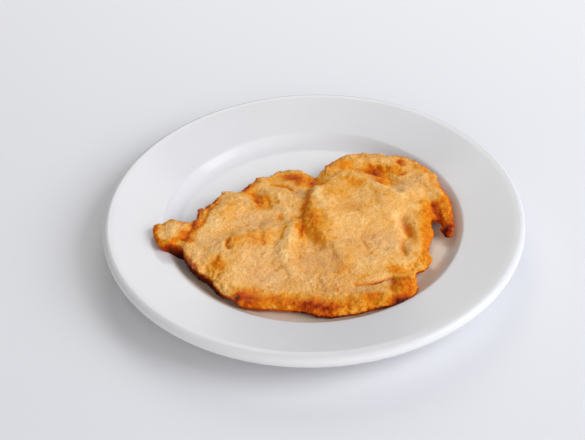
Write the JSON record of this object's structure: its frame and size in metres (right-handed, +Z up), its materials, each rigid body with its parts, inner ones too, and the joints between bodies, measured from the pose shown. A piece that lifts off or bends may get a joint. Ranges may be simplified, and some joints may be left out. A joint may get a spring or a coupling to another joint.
{
  "type": "breaded schnitzel on a plate",
  "caption": "Breaded, fried cutlet lying across the well of a round white porcelain dinner plate, one thin end lifted over the plate's shoulder.",
  "frame": {"origin": "on the plate's axis, at the height of the table under its foot ring", "axes": "+Z up along the plate's axis; +X to the right and +Y to the back, with the schnitzel's narrow lifted end at -X"},
  "size_m": [0.26, 0.26, 0.0226],
  "materials": {
    "porcelain": "white glazed porcelain, bare on the foot ring",
    "crust": "fried crumb coating, pale gold on top and browned at the edges, slightly oily"
  },
  "bodies": {
    "root": {"plate": "porcelain", "schnitzel": "crust"}
  },
  "joints": []
}
